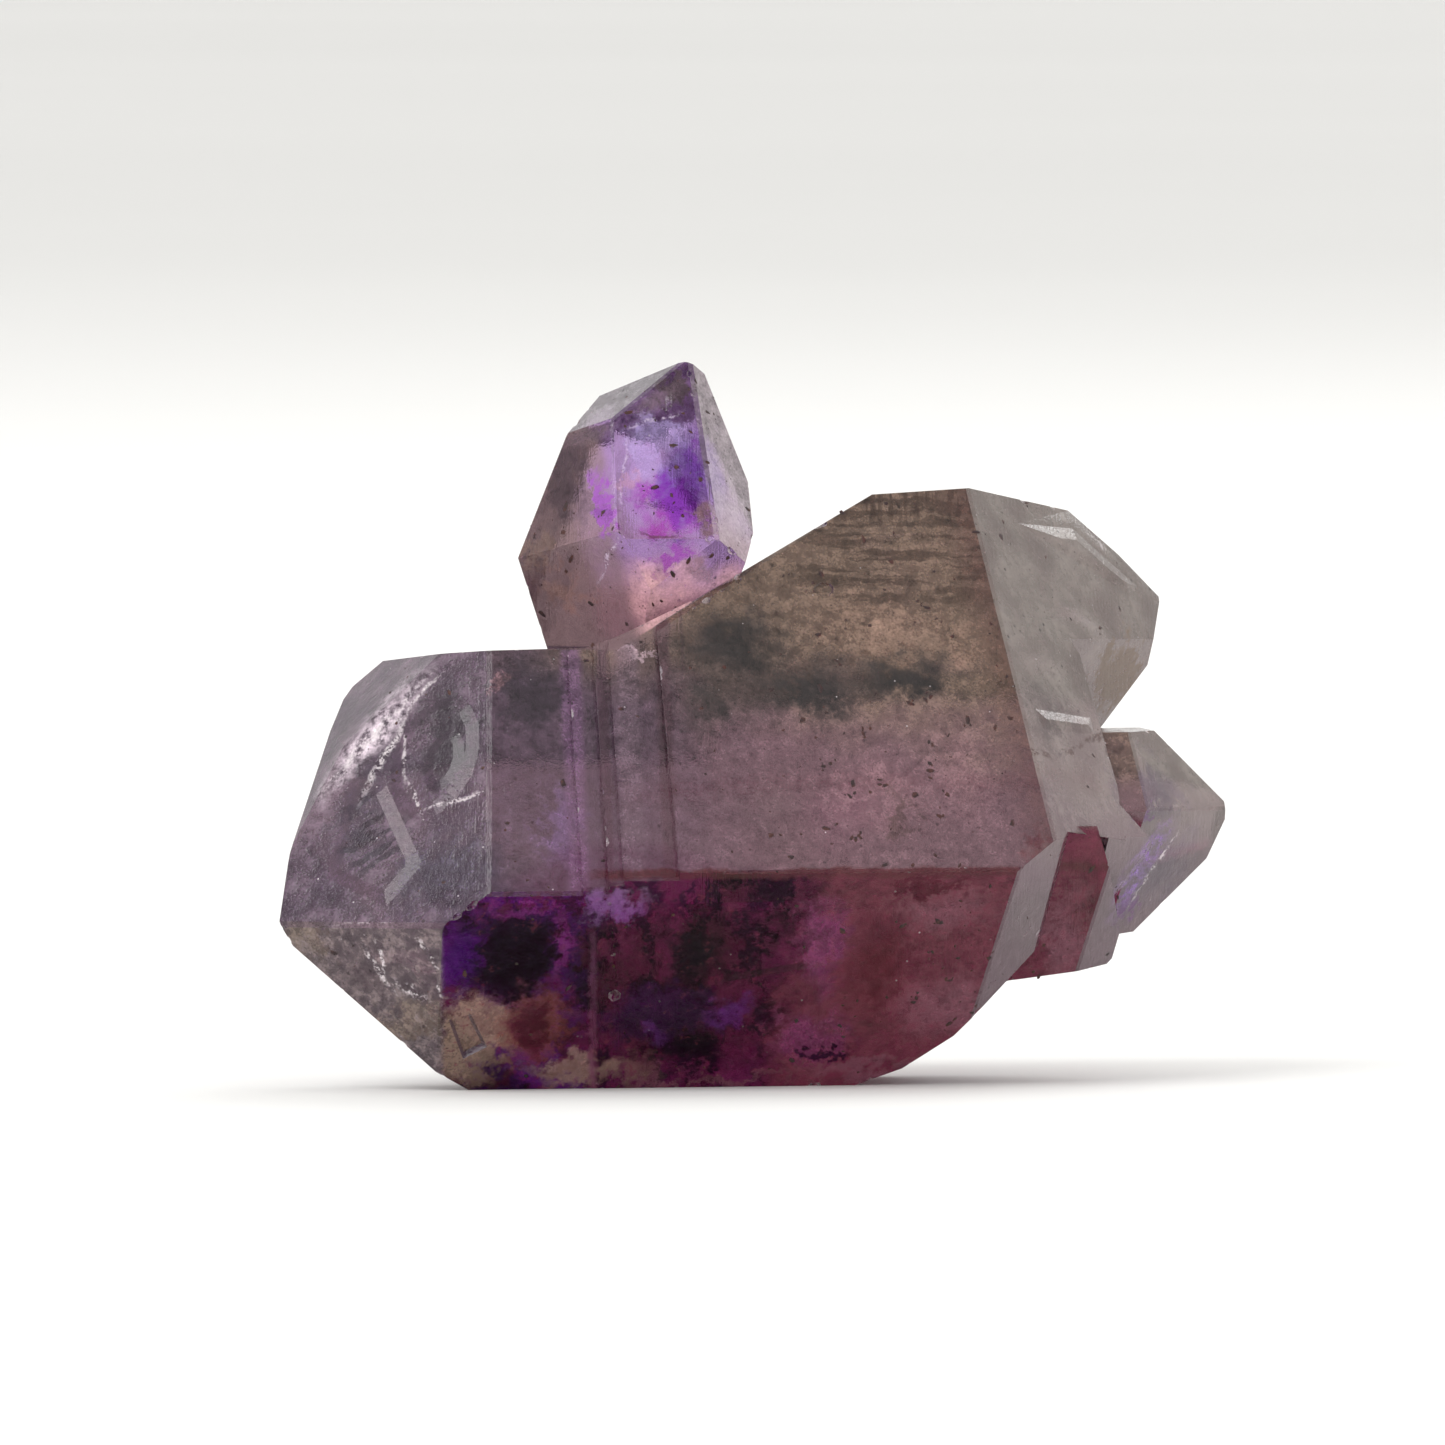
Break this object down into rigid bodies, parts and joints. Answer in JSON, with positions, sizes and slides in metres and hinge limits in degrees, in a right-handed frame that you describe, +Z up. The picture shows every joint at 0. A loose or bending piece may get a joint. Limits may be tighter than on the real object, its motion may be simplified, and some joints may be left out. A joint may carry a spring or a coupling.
{
  "type": "smoky amethyst crystal cluster",
  "caption": "Cluster of quartz crystals grown together, smoky brown above and deep violet below, resting on a long flat crystal face.",
  "frame": {"origin": "middle of the footprint, on the surface that the stone rests on", "axes": "+X along the longest side, from the many-faced left end to the small right-hand crystal; +Z up; -Y towards the viewer of the picture"},
  "size_m": [0.0474, 0.0316, 0.0362],
  "materials": {
    "smoky_amethyst": "natural crystal faces, glassy with fine growth lines, smoky brown, violet and clear grey zones inside"
  },
  "bodies": {
    "root": {"crystal_cluster": "smoky_amethyst"}
  },
  "joints": []
}
